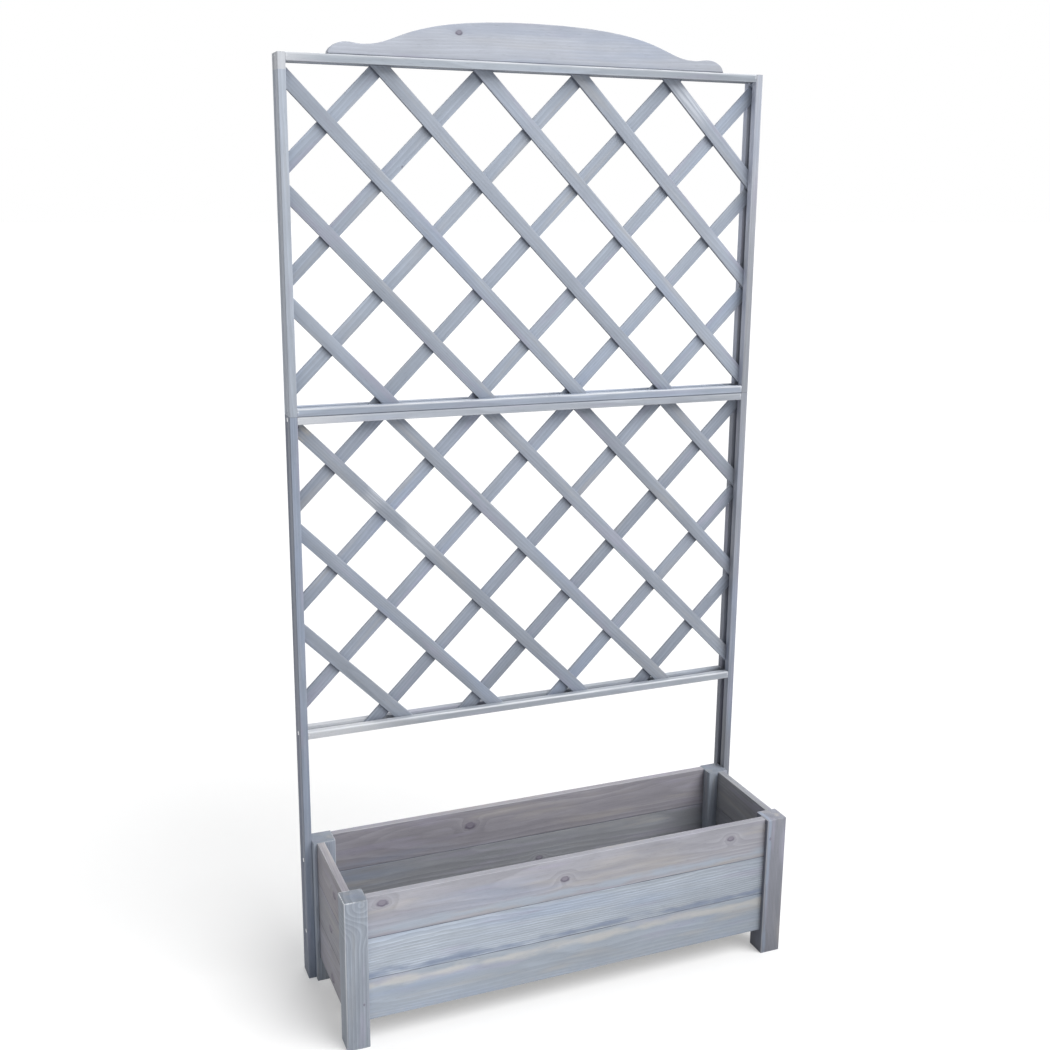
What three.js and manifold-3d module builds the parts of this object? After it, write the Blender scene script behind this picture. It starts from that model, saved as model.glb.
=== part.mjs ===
// A floor planter of stained softwood with a trellis of two panels standing at its back.
// Millimetres, +Z up. X runs along the planter, its front faces -Y, and Z = 0 is the ground.
// The middle of the footprint is X = 0, Y = 0.

import * as THREE from 'three';
import { mergeVertices } from 'three/addons/utils/BufferGeometryUtils.js';
import Module from 'manifold-3d';

// Trellis frame: grooved bars, with the lattice housed in the grooves.
const TRELLIS_WIDTH = 980;        // over both stiles
const PANEL_HEIGHT = 644;         // one panel, over both of its rails
const LOWER_PANEL_BASE = 528;     // underside of the lower panel's bottom rail
const BAR_THICKNESS = 15;
const BAR_DEPTH = 45;
const BAR_EDGE_RADIUS = 1.5;
const GROOVE_DEPTH = 8;

// Lattice: two layers of crossing slats, the front one falling to the right. They are laid by
// eye, so the layers differ a little in angle and pitch.
const SLAT_WIDTH = 26;
const SLAT_THICKNESS = 7;
const SLAT_EDGE_RADIUS = 0.8;
const SLATS_PER_LAYER = 7;
const SLAT_CLEARANCE = 0.3;       // to the groove's walls and floor, and between the layers
const FRONT_LAYER = {
  lean: 1,
  angle: 45.55,                   // degrees from the rail
  cornerDistance: 179,            // from a panel's inner corner to the first slat, along the rail
};
const REAR_LAYER = { lean: -1, angle: 45, cornerDistance: 182 };
const UPPER_FRONT_SHIFT = -0.5;   // how far each layer lies above the middle of its panel
const UPPER_REAR_SHIFT = 6;
const LOWER_FRONT_SHIFT = 16;
const LOWER_REAR_SHIFT = 25;

// Crest: an arched board standing on the top rail.
const CREST_LENGTH = 800;
const CREST_HEIGHT = 71;
const CREST_THICKNESS = 18;
const CREST_SETBACK = 3;          // behind the front of the top rail
const CREST_EDGE_RADIUS = 1.5;
const ARCH_LENGTH = 670;          // from valley to valley
const VALLEY_HEIGHT = 20;
const SHOULDER_HEIGHT = 22.5;
const SHOULDER_LENGTH = 33;       // from the top of the shoulder to the end of the board

// Planter box: four legs with boards housed between them.
const BOX_DEPTH = 290;
const LEG_SIZE = 45;
const LEG_HEIGHT = 310;
const LEG_EDGE_RADIUS = 2;
const STILE_LAP = 30;             // how much of the rear leg the stile covers
const BOARDS_PER_WALL = 3;
const BOARDS_BASE = 52;           // underside of the lowest boards
const BOARD_THICKNESS = 15;
const BOARD_EDGE_RADIUS = 1.3;
const FRONT_RECESS = 9;           // from a leg's outer face to the board's
const SIDE_RECESS = 7.5;
const REAR_RECESS = 4;
const HOUSING_DEPTH = 8;          // how far the board ends run into the legs
const HOUSING_STOP = 12;          // left whole at the top of the leg
const HOUSING_CLEARANCE = 0.25;

// Floor: long boards lying on cross bearers.
const FLOOR_BOARD_COUNT = 3;
const FLOOR_BOARD_THICKNESS = 14;
const FLOOR_BOARD_GAP = 5;        // lets water out
const FLOOR_CLEARANCE = 1;        // around the floor boards
const BEARER_COUNT = 3;
const BEARER_WIDTH = 40;
const BEARER_HEIGHT = 20;
const BEARER_RISE = 4;            // above the underside of the wall boards
const BEARER_END_DISTANCE = 60;   // from a leg to the middle of the outer bearer

// Sizes that follow from those above.
const BOX_WIDTH = TRELLIS_WIDTH - 2 * BAR_THICKNESS;
const TOTAL_DEPTH = BOX_DEPTH + BAR_DEPTH - STILE_LAP;
const BOX_FRONT = -TOTAL_DEPTH / 2;
const BOX_REAR = BOX_FRONT + BOX_DEPTH;
const STILE_FRONT = BOX_REAR - STILE_LAP;
const STILE_MIDDLE = STILE_FRONT + BAR_DEPTH / 2;
const LOWER_STILE_LENGTH = LOWER_PANEL_BASE + PANEL_HEIGHT;
const OPENING_WIDTH = TRELLIS_WIDTH - 2 * BAR_THICKNESS;
const OPENING_HEIGHT = PANEL_HEIGHT - 2 * BAR_THICKNESS;
const GROOVE_WIDTH = 2 * SLAT_THICKNESS + 3 * SLAT_CLEARANCE;
const BOARD_HEIGHT = (LEG_HEIGHT - BOARDS_BASE) / BOARDS_PER_WALL;
const LEG_SPAN_X = BOX_WIDTH - 2 * LEG_SIZE;
const LEG_SPAN_Y = BOX_DEPTH - 2 * LEG_SIZE;

const CURVE_STEPS = 14;
const CORNER_STEPS = 3;

const wasm = await Module();
wasm.setup();

// A closed geometry as a solid that can be cut.
function toSolid(geometry) {
  geometry.deleteAttribute('normal');
  geometry.deleteAttribute('uv');
  const merged = mergeVertices(geometry, 1e-4);
  return new wasm.Manifold(new wasm.Mesh({
    numProp: 3,
    vertProperties: new Float32Array(merged.attributes.position.array),
    triVerts: new Uint32Array(merged.index.array),
  }));
}

// A cut solid as a geometry again.
function toGeometry(solid) {
  const { vertProperties, triVerts } = solid.getMesh();
  const geometry = new THREE.BufferGeometry();
  geometry.setAttribute('position', new THREE.BufferAttribute(vertProperties, 3));
  geometry.setIndex(new THREE.BufferAttribute(triVerts, 1));
  geometry.computeVertexNormals();
  return geometry;
}

// A block between two corners, as a cutter.
function block(low, high) {
  const size = high.map((value, axis) => value - low[axis]);
  const middle = high.map((value, axis) => (value + low[axis]) / 2);
  return toSolid(new THREE.BoxGeometry(...size).translate(...middle));
}

// Stains. Each piece of softwood takes the blue-grey a little differently.
function stain(colour) {
  return new THREE.MeshStandardMaterial({ color: colour, roughness: 0.72, metalness: 0 });
}

const PALE_STAIN = stain(0xc3c8cf);
const BAR_STAIN = stain(0xaab4c0);
const SLAT_STAIN = stain(0xa4aeba);
const LEG_STAIN = stain(0x9fa7b2);
const BOARD_STAIN = stain(0x9ea6ae);
const FLOOR_STAIN = stain(0xaba8a0);

function piece(name, geometry, material) {
  const mesh = new THREE.Mesh(geometry, material);
  mesh.name = name;
  return mesh;
}

// A rectangle with rounded corners, centred on the origin.
function roundedRectangle(width, height, radius) {
  const x = width / 2;
  const y = height / 2;
  const shape = new THREE.Shape();
  shape.moveTo(-x + radius, -y);
  shape.absarc(x - radius, -y + radius, radius, -Math.PI / 2, 0);
  shape.absarc(x - radius, y - radius, radius, 0, Math.PI / 2);
  shape.absarc(-x + radius, y - radius, radius, Math.PI / 2, Math.PI);
  shape.absarc(-x + radius, -y + radius, radius, Math.PI, 1.5 * Math.PI);
  return shape;
}

function prism(shape, length) {
  return new THREE.ExtrudeGeometry(shape, {
    depth: length, bevelEnabled: false, curveSegments: CORNER_STEPS,
  });
}

// ---- Trellis frame ----

// Section of a frame bar, thickness along X from its back at 0 and depth along Y.
// The groove opens on the inner edge, at x = BAR_THICKNESS.
function barSection() {
  const half = BAR_DEPTH / 2;
  const r = BAR_EDGE_RADIUS;
  const inner = BAR_THICKNESS;
  const floor = BAR_THICKNESS - GROOVE_DEPTH;
  const groove = GROOVE_WIDTH / 2;
  const shape = new THREE.Shape();
  shape.moveTo(r, -half);
  shape.absarc(inner - r, -half + r, r, -Math.PI / 2, 0);
  shape.lineTo(inner, -groove);
  shape.lineTo(floor, -groove);
  shape.lineTo(floor, groove);
  shape.lineTo(inner, groove);
  shape.absarc(inner - r, half - r, r, 0, Math.PI / 2);
  shape.absarc(r, half - r, r, Math.PI / 2, Math.PI);
  shape.absarc(r, -half + r, r, Math.PI, 1.5 * Math.PI);
  return shape;
}

// A stile stands upright with its groove towards the lattice; side is -1 left, 1 right.
function stile(name, side, base, length) {
  const mesh = piece(name, prism(barSection(), length), BAR_STAIN);
  mesh.position.set(side * TRELLIS_WIDTH / 2, STILE_MIDDLE, base);
  mesh.rotation.z = side > 0 ? Math.PI : 0;
  return mesh;
}

// A rail lies between the stiles, its groove opening upwards or downwards.
function rail(name, outerHeight, opensUp) {
  const mesh = piece(name, prism(barSection(), OPENING_WIDTH), BAR_STAIN);
  const end = OPENING_WIDTH / 2;
  mesh.position.set(opensUp ? end : -end, STILE_MIDDLE, outerHeight);
  mesh.rotation.y = opensUp ? -Math.PI / 2 : Math.PI / 2;
  return mesh;
}

// ---- Lattice ----

// One slat: a strip laid at an angle and trimmed parallel to the bars that house it. Its
// layer's lean is 1 for a strip falling to the right and -1 for one rising to the right.
function slat(name, { lean, angle }, front, rise) {
  const reach = OPENING_WIDTH + OPENING_HEIGHT;
  const section = roundedRectangle(SLAT_WIDTH, SLAT_THICKNESS, SLAT_EDGE_RADIUS);
  const strip = prism(section, reach).translate(0, 0, -reach / 2);
  strip.rotateY(-lean * THREE.MathUtils.degToRad(90 - angle));
  strip.translate(0, front + SLAT_THICKNESS / 2, rise);
  const seat = GROOVE_DEPTH - SLAT_CLEARANCE;
  const x = OPENING_WIDTH / 2 + seat;
  const z = OPENING_HEIGHT / 2 + seat;
  const inside = block([-x, front - 1, -z], [x, front + SLAT_THICKNESS + 1, z]);
  return piece(name, toGeometry(toSolid(strip).intersect(inside)), SLAT_STAIN);
}

// One layer of slats across a panel, numbered upwards and evenly spread over the opening.
function layer(name, kind, front, shift) {
  const spread = OPENING_WIDTH + OPENING_HEIGHT - 2 * kind.cornerDistance;
  const slats = [];
  for (let index = 0; index < SLATS_PER_LAYER; index += 1) {
    const rise = shift - spread / 2 + index * spread / (SLATS_PER_LAYER - 1);
    slats.push(slat(`${name}_${index + 1}`, kind, front, rise));
  }
  return slats;
}

// A panel: two rails and two layers of slats that share the groove.
function panel(name, base, frontShift, rearShift) {
  const front = STILE_MIDDLE - GROOVE_WIDTH / 2 + SLAT_CLEARANCE;
  const rear = front + SLAT_THICKNESS + SLAT_CLEARANCE;
  const lattice = new THREE.Group();
  lattice.position.z = base + PANEL_HEIGHT / 2;
  lattice.add(...layer(`slat_${name}_front`, FRONT_LAYER, front, frontShift));
  lattice.add(...layer(`slat_${name}_rear`, REAR_LAYER, rear, rearShift));
  const group = new THREE.Group();
  group.add(rail(`rail_${name}_bottom`, base, true));
  group.add(rail(`rail_${name}_top`, base + PANEL_HEIGHT, false));
  group.add(lattice);
  return group;
}

// ---- Crest ----

// Half of the arched outline as curves, from the middle of the arch to the end of the board.
// side is 1 for the right half and -1 for the left.
function crestHalf(side) {
  const end = side * CREST_LENGTH / 2;
  const valley = side * ARCH_LENGTH / 2;
  const shoulder = end - side * SHOULDER_LENGTH;
  const between = (valley + shoulder) / 2;
  return {
    end,
    // The arch: full over its middle, then swept into the valley.
    arch: [[0, CREST_HEIGHT], [0.81 * valley, CREST_HEIGHT], [0.79 * valley, VALLEY_HEIGHT],
      [valley, VALLEY_HEIGHT]],
    // A soft rise from the valley to the shoulder.
    rise: [[valley, VALLEY_HEIGHT], [between, VALLEY_HEIGHT], [between, SHOULDER_HEIGHT],
      [shoulder, SHOULDER_HEIGHT]],
    // The rounded end.
    nose: [[shoulder, SHOULDER_HEIGHT], [shoulder + side * SHOULDER_LENGTH / 2, SHOULDER_HEIGHT],
      [end, SHOULDER_HEIGHT / 2], [end, 0]],
  };
}

function crest() {
  const shape = new THREE.Shape();
  const left = crestHalf(-1);
  const right = crestHalf(1);
  const outwards = (curve) => shape.bezierCurveTo(...curve[1], ...curve[2], ...curve[3]);
  const inwards = (curve) => shape.bezierCurveTo(...curve[2], ...curve[1], ...curve[0]);
  shape.moveTo(left.end, 0);
  shape.lineTo(right.end, 0);
  inwards(right.nose);
  inwards(right.rise);
  inwards(right.arch);
  outwards(left.arch);
  outwards(left.rise);
  outwards(left.nose);
  const geometry = new THREE.ExtrudeGeometry(shape, {
    depth: CREST_THICKNESS - 2 * CREST_EDGE_RADIUS,
    bevelThickness: CREST_EDGE_RADIUS,
    bevelSize: CREST_EDGE_RADIUS,
    bevelOffset: -CREST_EDGE_RADIUS,
    bevelSegments: 2,
    curveSegments: CURVE_STEPS,
  });
  geometry.rotateX(Math.PI / 2);
  const mesh = piece('crest_board', geometry, PALE_STAIN);
  const back = STILE_FRONT + CREST_SETBACK + CREST_THICKNESS - CREST_EDGE_RADIUS;
  mesh.position.set(0, back, LOWER_PANEL_BASE + 2 * PANEL_HEIGHT);
  return mesh;
}

function trellis() {
  const group = new THREE.Group();
  for (const [sideName, side] of [['left', -1], ['right', 1]]) {
    group.add(stile(`stile_lower_${sideName}`, side, 0, LOWER_STILE_LENGTH));
    group.add(stile(`stile_upper_${sideName}`, side, LOWER_STILE_LENGTH, PANEL_HEIGHT));
  }
  group.add(panel('lower', LOWER_PANEL_BASE, LOWER_FRONT_SHIFT, LOWER_REAR_SHIFT));
  group.add(panel('upper', LOWER_STILE_LENGTH, UPPER_FRONT_SHIFT, UPPER_REAR_SHIFT));
  group.add(crest());
  return group;
}

// ---- Planter box ----

// A leg seen from above has its corner of the box at the origin, and the box lies towards
// +X and +Y. Two stopped housings, one in each inner face, take the ends of the boards.
function legGeometry(wallRecess) {
  const half = LEG_SIZE / 2;
  const shape = roundedRectangle(LEG_SIZE, LEG_SIZE, LEG_EDGE_RADIUS);
  const blank = toSolid(prism(shape, LEG_HEIGHT).translate(half, half, 0));
  const gap = HOUSING_CLEARANCE;
  const from = LEG_SIZE - HOUSING_DEPTH - gap;
  const low = BOARDS_BASE - gap;
  const high = LEG_HEIGHT - HOUSING_STOP + gap;
  const wallHousing = block(
    [from, wallRecess - gap, low],
    [LEG_SIZE + 1, wallRecess + BOARD_THICKNESS + gap, high],
  );
  const sideHousing = block(
    [SIDE_RECESS - gap, from, low],
    [SIDE_RECESS + BOARD_THICKNESS + gap, LEG_SIZE + 1, high],
  );
  return blank.subtract(wallHousing).subtract(sideHousing);
}

// side is -1 left and 1 right, end is -1 front and 1 rear.
function leg(name, side, end) {
  const corner = legGeometry(end < 0 ? FRONT_RECESS : REAR_RECESS);
  const facing = corner.scale([-side, -end, 1]);
  const mesh = piece(name, toGeometry(facing), LEG_STAIN);
  mesh.position.set(side * BOX_WIDTH / 2, end < 0 ? BOX_FRONT : BOX_REAR, 0);
  return mesh;
}

// A wall board lies along X with its outer face at y = 0, its ends run into the housings.
// The top board of a wall is notched at both ends, under the whole top of the leg.
function wallBoard(span, isTop) {
  const length = span + 2 * HOUSING_DEPTH;
  const shape = roundedRectangle(BOARD_HEIGHT, BOARD_THICKNESS, BOARD_EDGE_RADIUS);
  const geometry = prism(shape, length).translate(-BOARD_HEIGHT / 2, BOARD_THICKNESS / 2, -length / 2);
  geometry.rotateY(Math.PI / 2);
  if (!isTop) return geometry;
  let board = toSolid(geometry);
  for (const side of [-1, 1]) {
    const inner = side * (span / 2 - HOUSING_CLEARANCE);
    const outer = side * (length / 2 + 1);
    board = board.subtract(block(
      [Math.min(inner, outer), -1, BOARD_HEIGHT - HOUSING_STOP],
      [Math.max(inner, outer), BOARD_THICKNESS + 1, BOARD_HEIGHT + 1],
    ));
  }
  return toGeometry(board);
}

// A wall of boards, one on top of another, counted from the bottom.
function wall(name, span) {
  const group = new THREE.Group();
  for (let row = 0; row < BOARDS_PER_WALL; row += 1) {
    const geometry = wallBoard(span, row === BOARDS_PER_WALL - 1);
    const mesh = piece(`${name}_board_${row + 1}`, geometry, BOARD_STAIN);
    mesh.position.z = BOARDS_BASE + row * BOARD_HEIGHT;
    group.add(mesh);
  }
  return group;
}

function walls() {
  const front = wall('front', LEG_SPAN_X);
  front.position.y = BOX_FRONT + FRONT_RECESS;
  const rear = wall('rear', LEG_SPAN_X);
  rear.position.y = BOX_REAR - REAR_RECESS;
  rear.rotation.z = Math.PI;
  const middle = (BOX_FRONT + BOX_REAR) / 2;
  const left = wall('left', LEG_SPAN_Y);
  left.position.set(-BOX_WIDTH / 2 + SIDE_RECESS, middle, 0);
  left.rotation.z = -Math.PI / 2;
  const right = wall('right', LEG_SPAN_Y);
  right.position.set(BOX_WIDTH / 2 - SIDE_RECESS, middle, 0);
  right.rotation.z = Math.PI / 2;
  return [front, rear, left, right];
}

// ---- Floor ----

// The bearers run from the front wall to the rear wall. The boards lie on them, the
// outer ones between the legs and the others from side wall to side wall.
function floor() {
  const group = new THREE.Group();
  const inFront = BOX_FRONT + FRONT_RECESS + BOARD_THICKNESS;
  const inRear = BOX_REAR - REAR_RECESS - BOARD_THICKNESS;
  const depth = inRear - inFront;
  const bearerBase = BOARDS_BASE + BEARER_RISE;
  const outermost = LEG_SPAN_X / 2 - BEARER_END_DISTANCE;
  for (let index = 0; index < BEARER_COUNT; index += 1) {
    const bearer = piece(`floor_bearer_${index + 1}`,
      prism(roundedRectangle(BEARER_WIDTH, BEARER_HEIGHT, BOARD_EDGE_RADIUS), depth), FLOOR_STAIN);
    bearer.rotation.x = Math.PI / 2;
    const x = -outermost + 2 * outermost * index / (BEARER_COUNT - 1);
    bearer.position.set(x, inRear, bearerBase + BEARER_HEIGHT / 2);
    group.add(bearer);
  }
  const gaps = (FLOOR_BOARD_COUNT - 1) * FLOOR_BOARD_GAP + 2 * FLOOR_CLEARANCE;
  const width = (depth - gaps) / FLOOR_BOARD_COUNT;
  const sideToSide = BOX_WIDTH - 2 * (SIDE_RECESS + BOARD_THICKNESS);
  for (let index = 0; index < FLOOR_BOARD_COUNT; index += 1) {
    const isOuter = index === 0 || index === FLOOR_BOARD_COUNT - 1;
    const length = (isOuter ? LEG_SPAN_X : sideToSide) - 2 * FLOOR_CLEARANCE;
    const section = roundedRectangle(width, FLOOR_BOARD_THICKNESS, BOARD_EDGE_RADIUS);
    const geometry = prism(section, length).translate(0, 0, -length / 2);
    geometry.rotateX(Math.PI / 2).rotateZ(Math.PI / 2);
    const board = piece(`floor_board_${index + 1}`, geometry, FLOOR_STAIN);
    const y = inFront + FLOOR_CLEARANCE + width / 2 + index * (width + FLOOR_BOARD_GAP);
    board.position.set(0, y, bearerBase + BEARER_HEIGHT + FLOOR_BOARD_THICKNESS / 2);
    group.add(board);
  }
  return group;
}

function planterBox() {
  const group = new THREE.Group();
  for (const [endName, end] of [['front', -1], ['rear', 1]]) {
    for (const [sideName, side] of [['left', -1], ['right', 1]]) {
      group.add(leg(`leg_${endName}_${sideName}`, side, end));
    }
  }
  group.add(...walls());
  group.add(floor());
  return group;
}

const planterWithTrellis = new THREE.Group();
planterWithTrellis.add(planterBox());
planterWithTrellis.add(trellis());

export default planterWithTrellis;
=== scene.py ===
import math
import random
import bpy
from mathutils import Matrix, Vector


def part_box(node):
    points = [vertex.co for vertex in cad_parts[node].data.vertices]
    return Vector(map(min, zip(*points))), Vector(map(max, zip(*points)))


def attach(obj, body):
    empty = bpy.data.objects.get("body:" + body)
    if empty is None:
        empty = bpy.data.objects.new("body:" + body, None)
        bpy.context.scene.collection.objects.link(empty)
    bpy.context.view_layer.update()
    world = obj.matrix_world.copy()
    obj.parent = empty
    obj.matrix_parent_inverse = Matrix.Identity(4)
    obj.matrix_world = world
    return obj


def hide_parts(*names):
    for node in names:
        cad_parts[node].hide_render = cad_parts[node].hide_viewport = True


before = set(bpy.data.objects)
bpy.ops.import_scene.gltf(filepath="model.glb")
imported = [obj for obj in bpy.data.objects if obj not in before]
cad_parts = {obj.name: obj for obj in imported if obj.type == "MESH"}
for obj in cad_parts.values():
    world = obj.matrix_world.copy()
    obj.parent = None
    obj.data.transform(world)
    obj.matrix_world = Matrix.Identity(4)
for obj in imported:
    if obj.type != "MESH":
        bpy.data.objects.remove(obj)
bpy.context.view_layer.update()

from types import SimpleNamespace

import bmesh
import bpy
from mathutils import Euler, Matrix, Vector


# ---- Camera ----
# It stands to the left of the planter, a little above the middle of the trellis, and looks
# down to the right. Its place and angles are in metres and radians.
EYE = Vector((-0.97367, -2.26776, 1.58415))
EYE_YAW, EYE_PITCH, EYE_ROLL = 0.38938, 0.23868, -0.010
FOCAL_PIXELS = 1302.1
IMAGE_SIZE = 1050
SENSOR_MM = 36
IMAGE_CENTRE = (533.98, 507.97)      # where the line of sight meets the picture

sight = Vector((
    math.sin(EYE_YAW) * math.cos(EYE_PITCH),
    math.cos(EYE_YAW) * math.cos(EYE_PITCH),
    -math.sin(EYE_PITCH),
))
level_right = Vector((math.cos(EYE_YAW), -math.sin(EYE_YAW), 0))
level_down = sight.cross(level_right)
right = math.cos(EYE_ROLL) * level_right + math.sin(EYE_ROLL) * level_down
down = -math.sin(EYE_ROLL) * level_right + math.cos(EYE_ROLL) * level_down


def in_scene(name, data):
    """A new object that carries the data, linked to the scene."""
    made = bpy.data.objects.new(name, data)
    bpy.context.scene.collection.objects.link(made)
    return made


camera = in_scene("camera", bpy.data.cameras.new("camera"))
camera.matrix_world = Matrix.Translation(EYE) @ Matrix((right, -down, -sight)).transposed().to_4x4()
camera.data.sensor_width = SENSOR_MM
camera.data.lens = FOCAL_PIXELS * SENSOR_MM / IMAGE_SIZE
camera.data.shift_x = (IMAGE_SIZE / 2 - IMAGE_CENTRE[0]) / IMAGE_SIZE
camera.data.shift_y = (IMAGE_CENTRE[1] - IMAGE_SIZE / 2) / IMAGE_SIZE
bpy.context.scene.camera = camera


# ---- Legs ----
# Four square legs of planed spruce, 45 mm across, with stopped housings that take the ends
# of the wall boards. They are dipped in a thin blue-grey stain through which the grain shows.

class Nodes:
    """Adds nodes to a tree; an input is given as a value or as the socket that feeds it."""

    def __init__(self, tree):
        self.tree = tree
        tree.nodes.clear()

    def add(self, kind, inputs=None, **settings):
        node = self.tree.nodes.new(kind)
        for name, value in settings.items():
            setattr(node, name, value)
        for key, value in (inputs or {}).items():
            if isinstance(value, bpy.types.NodeSocket):
                self.tree.links.new(value, node.inputs[key])
            else:
                node.inputs[key].default_value = value
        return node.outputs

    def math(self, operation, *values):
        return self.add("ShaderNodeMath", dict(enumerate(values)), operation=operation)[0]

    def scaled(self, value, factor, shift):
        return self.math("MULTIPLY_ADD", value, factor, shift)

    def product(self, first, *others):
        for other in others:
            first = self.math("MULTIPLY", first, other)
        return first

    def largest(self, first, *others):
        for other in others:
            first = self.math("MAXIMUM", first, other)
        return first

    def between(self, value, low, high):
        """0 at low, 1 at high and smooth between them. Where low is the larger, it falls."""
        inputs = {"Value": value, "From Min": low, "From Max": high}
        return self.add("ShaderNodeMapRange", inputs, interpolation_type="SMOOTHSTEP")[0]

    def vector(self, operation, first, second):
        return self.add("ShaderNodeVectorMath", {0: first, 1: second}, operation=operation)[0]

    def length(self, vector):
        return self.add("ShaderNodeVectorMath", {0: vector}, operation="LENGTH")["Value"]

    def parts(self, vector):
        return self.add("ShaderNodeSeparateXYZ", {0: vector})[:3]

    def joined(self, x=0.0, y=0.0, z=0.0):
        return self.add("ShaderNodeCombineXYZ", {0: x, 1: y, 2: z})[0]

    def turned(self, rotation, location):
        """Object coordinates, turned and moved."""
        inputs = {"Vector": self.add("ShaderNodeTexCoord")["Object"],
                  "Rotation": rotation.to_euler(), "Location": location}
        return self.add("ShaderNodeMapping", inputs, vector_type="POINT")[0]

    def spread(self, vector, along, across):
        """The vector squeezed along the grain, for a pattern that is long in that direction."""
        return self.vector("MULTIPLY", vector, (along, across, across))

    def noise(self, vector, seed, detail=3.0, roughness=0.55):
        inputs = {"Vector": vector, "W": seed, "Scale": 1.0, "Detail": detail,
                  "Roughness": roughness}
        return self.add("ShaderNodeTexNoise", inputs, noise_dimensions="4D")[0]

    def mix(self, share, first, second, blend="MIX"):
        """One colour over another; a Mix node's colours are its sockets 6 and 7, and 2 comes out."""
        inputs = {0: share, 6: first, 7: second}
        return self.add("ShaderNodeMix", inputs, data_type="RGBA", blend_type=blend)[2]

    def tinted(self, colour, other, *shares):
        """The colour turned towards another one, by the product of the shares."""
        return self.mix(self.product(*shares), colour, other)

    def darker(self, colour, share):
        """The colour times a share that may vary over the surface."""
        grey = self.add("ShaderNodeCombineColor", {0: share, 1: share, 2: share})[0]
        return self.mix(1.0, colour, grey, "MULTIPLY")


def new_finish(name):
    """An empty material and its nodes."""
    material = bpy.data.materials.new(name)
    material.use_nodes = True
    return material, Nodes(material.node_tree)


def screen_colour(red, green, blue):
    """A colour as a screen shows it, 0 to 255, in the linear values that a shader takes."""
    def linear(value):
        value /= 255
        return value / 12.92 if value <= 0.04045 else ((value + 0.055) / 1.055) ** 2.4
    return (linear(red), linear(green), linear(blue), 1.0)


GRAIN_ALONG = {                       # turns the length of a board onto X, its face onto X and Y
    "x": Euler((-math.pi / 2, 0, 0)).to_matrix(),
    "y": Matrix(((0, 1, 0), (0, 0, 1), (1, 0, 0))),
    "z": Matrix(((0, 0, 1), (1, 0, 0), (0, 1, 0))),
}


def board_place(nodes, node, along):
    """Place on a board: X along its grain, Y across its face and Z into its thickness."""
    low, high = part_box(node)
    turn = GRAIN_ALONG[along]
    size = turn @ (high - low)
    return nodes.turned(turn, -(turn @ ((low + high) / 2))), tuple(abs(value) / 2 for value in size)


def on_board(node, along):
    return lambda nodes: board_place(nodes, node, along)


UNEVEN = {
    # How fine it is along and across the grain, its shift of the seed, detail and roughness.
    "broad": (2.5, 22.0, 11.3, 3.0, 0.55),
    "wash": (14.0, 46.0, 17.9, 3.0, 0.55),
    "patch": (5.0, 48.0, 51.9, 2.0, 0.55),
    "streak": (9.0, 330.0, 23.1, 4.0, 0.62),
    "fleck": (55.0, 800.0, 67.3, 1.0, 0.55),
    "fibre": (75.0, 2300.0, 37.7, 2.0, 0.55),
}


def wood_at(nodes, placed, seed):
    """Where a point lies on its board, and how uneven wood and stain are there."""
    place, half = placed(nodes)
    along, across, into = nodes.parts(place)
    uneven = {name: nodes.noise(nodes.spread(place, fine_along, fine_across), seed + shift,
                                detail, roughness)
              for name, (fine_along, fine_across, shift, detail, roughness) in UNEVEN.items()}
    return SimpleNamespace(place=place, half=half, along=along, across=across, into=into, **uneven)


KNOT_STRETCH = (0.75, 1.15)           # distances count less along the grain than across it
KNOT_RAGGED = 0.9                     # how uneven its rim is, next to its radius
KNOT_PUSH = 0.010                     # how far a knot pushes the rings aside
KNOT_HALO = screen_colour(144, 138, 150)
KNOT_CORE = screen_colour(124, 118, 132)
KNOT_RIM = screen_colour(84, 78, 96)


def knot_distances(nodes, wood, knots, seed):
    """For each knot the distance from its middle, ragged and 1 at its rim, and its under side."""
    if not knots:
        return [], []
    ragged = nodes.noise(nodes.spread(wood.place, 90.0, 160.0), seed + 5.5, 2.0)
    distances, undersides = [], []
    for along, across, radius in knots:
        offset = nodes.vector("SUBTRACT", wood.place, (along, across, 0))
        scale = (KNOT_STRETCH[0] / radius, KNOT_STRETCH[1] / radius, 0)
        offset = nodes.vector("MULTIPLY", offset, scale)
        uneven = nodes.scaled(ragged, KNOT_RAGGED, -KNOT_RAGGED / 2)
        distances.append(nodes.math("ADD", nodes.length(offset), uneven))
        undersides.append(nodes.between(nodes.parts(offset)[1], 0.5, -0.6))
    return distances, undersides


RING_WANDER = 0.022                   # how far the rings drift to and fro along a board
SWIRL_TO_LINES = 0.055                # from the swirl's middle to where the straight lines start
SWIRL_PACKING = -1.5                  # straight lines lie closer, and count the other way


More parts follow.
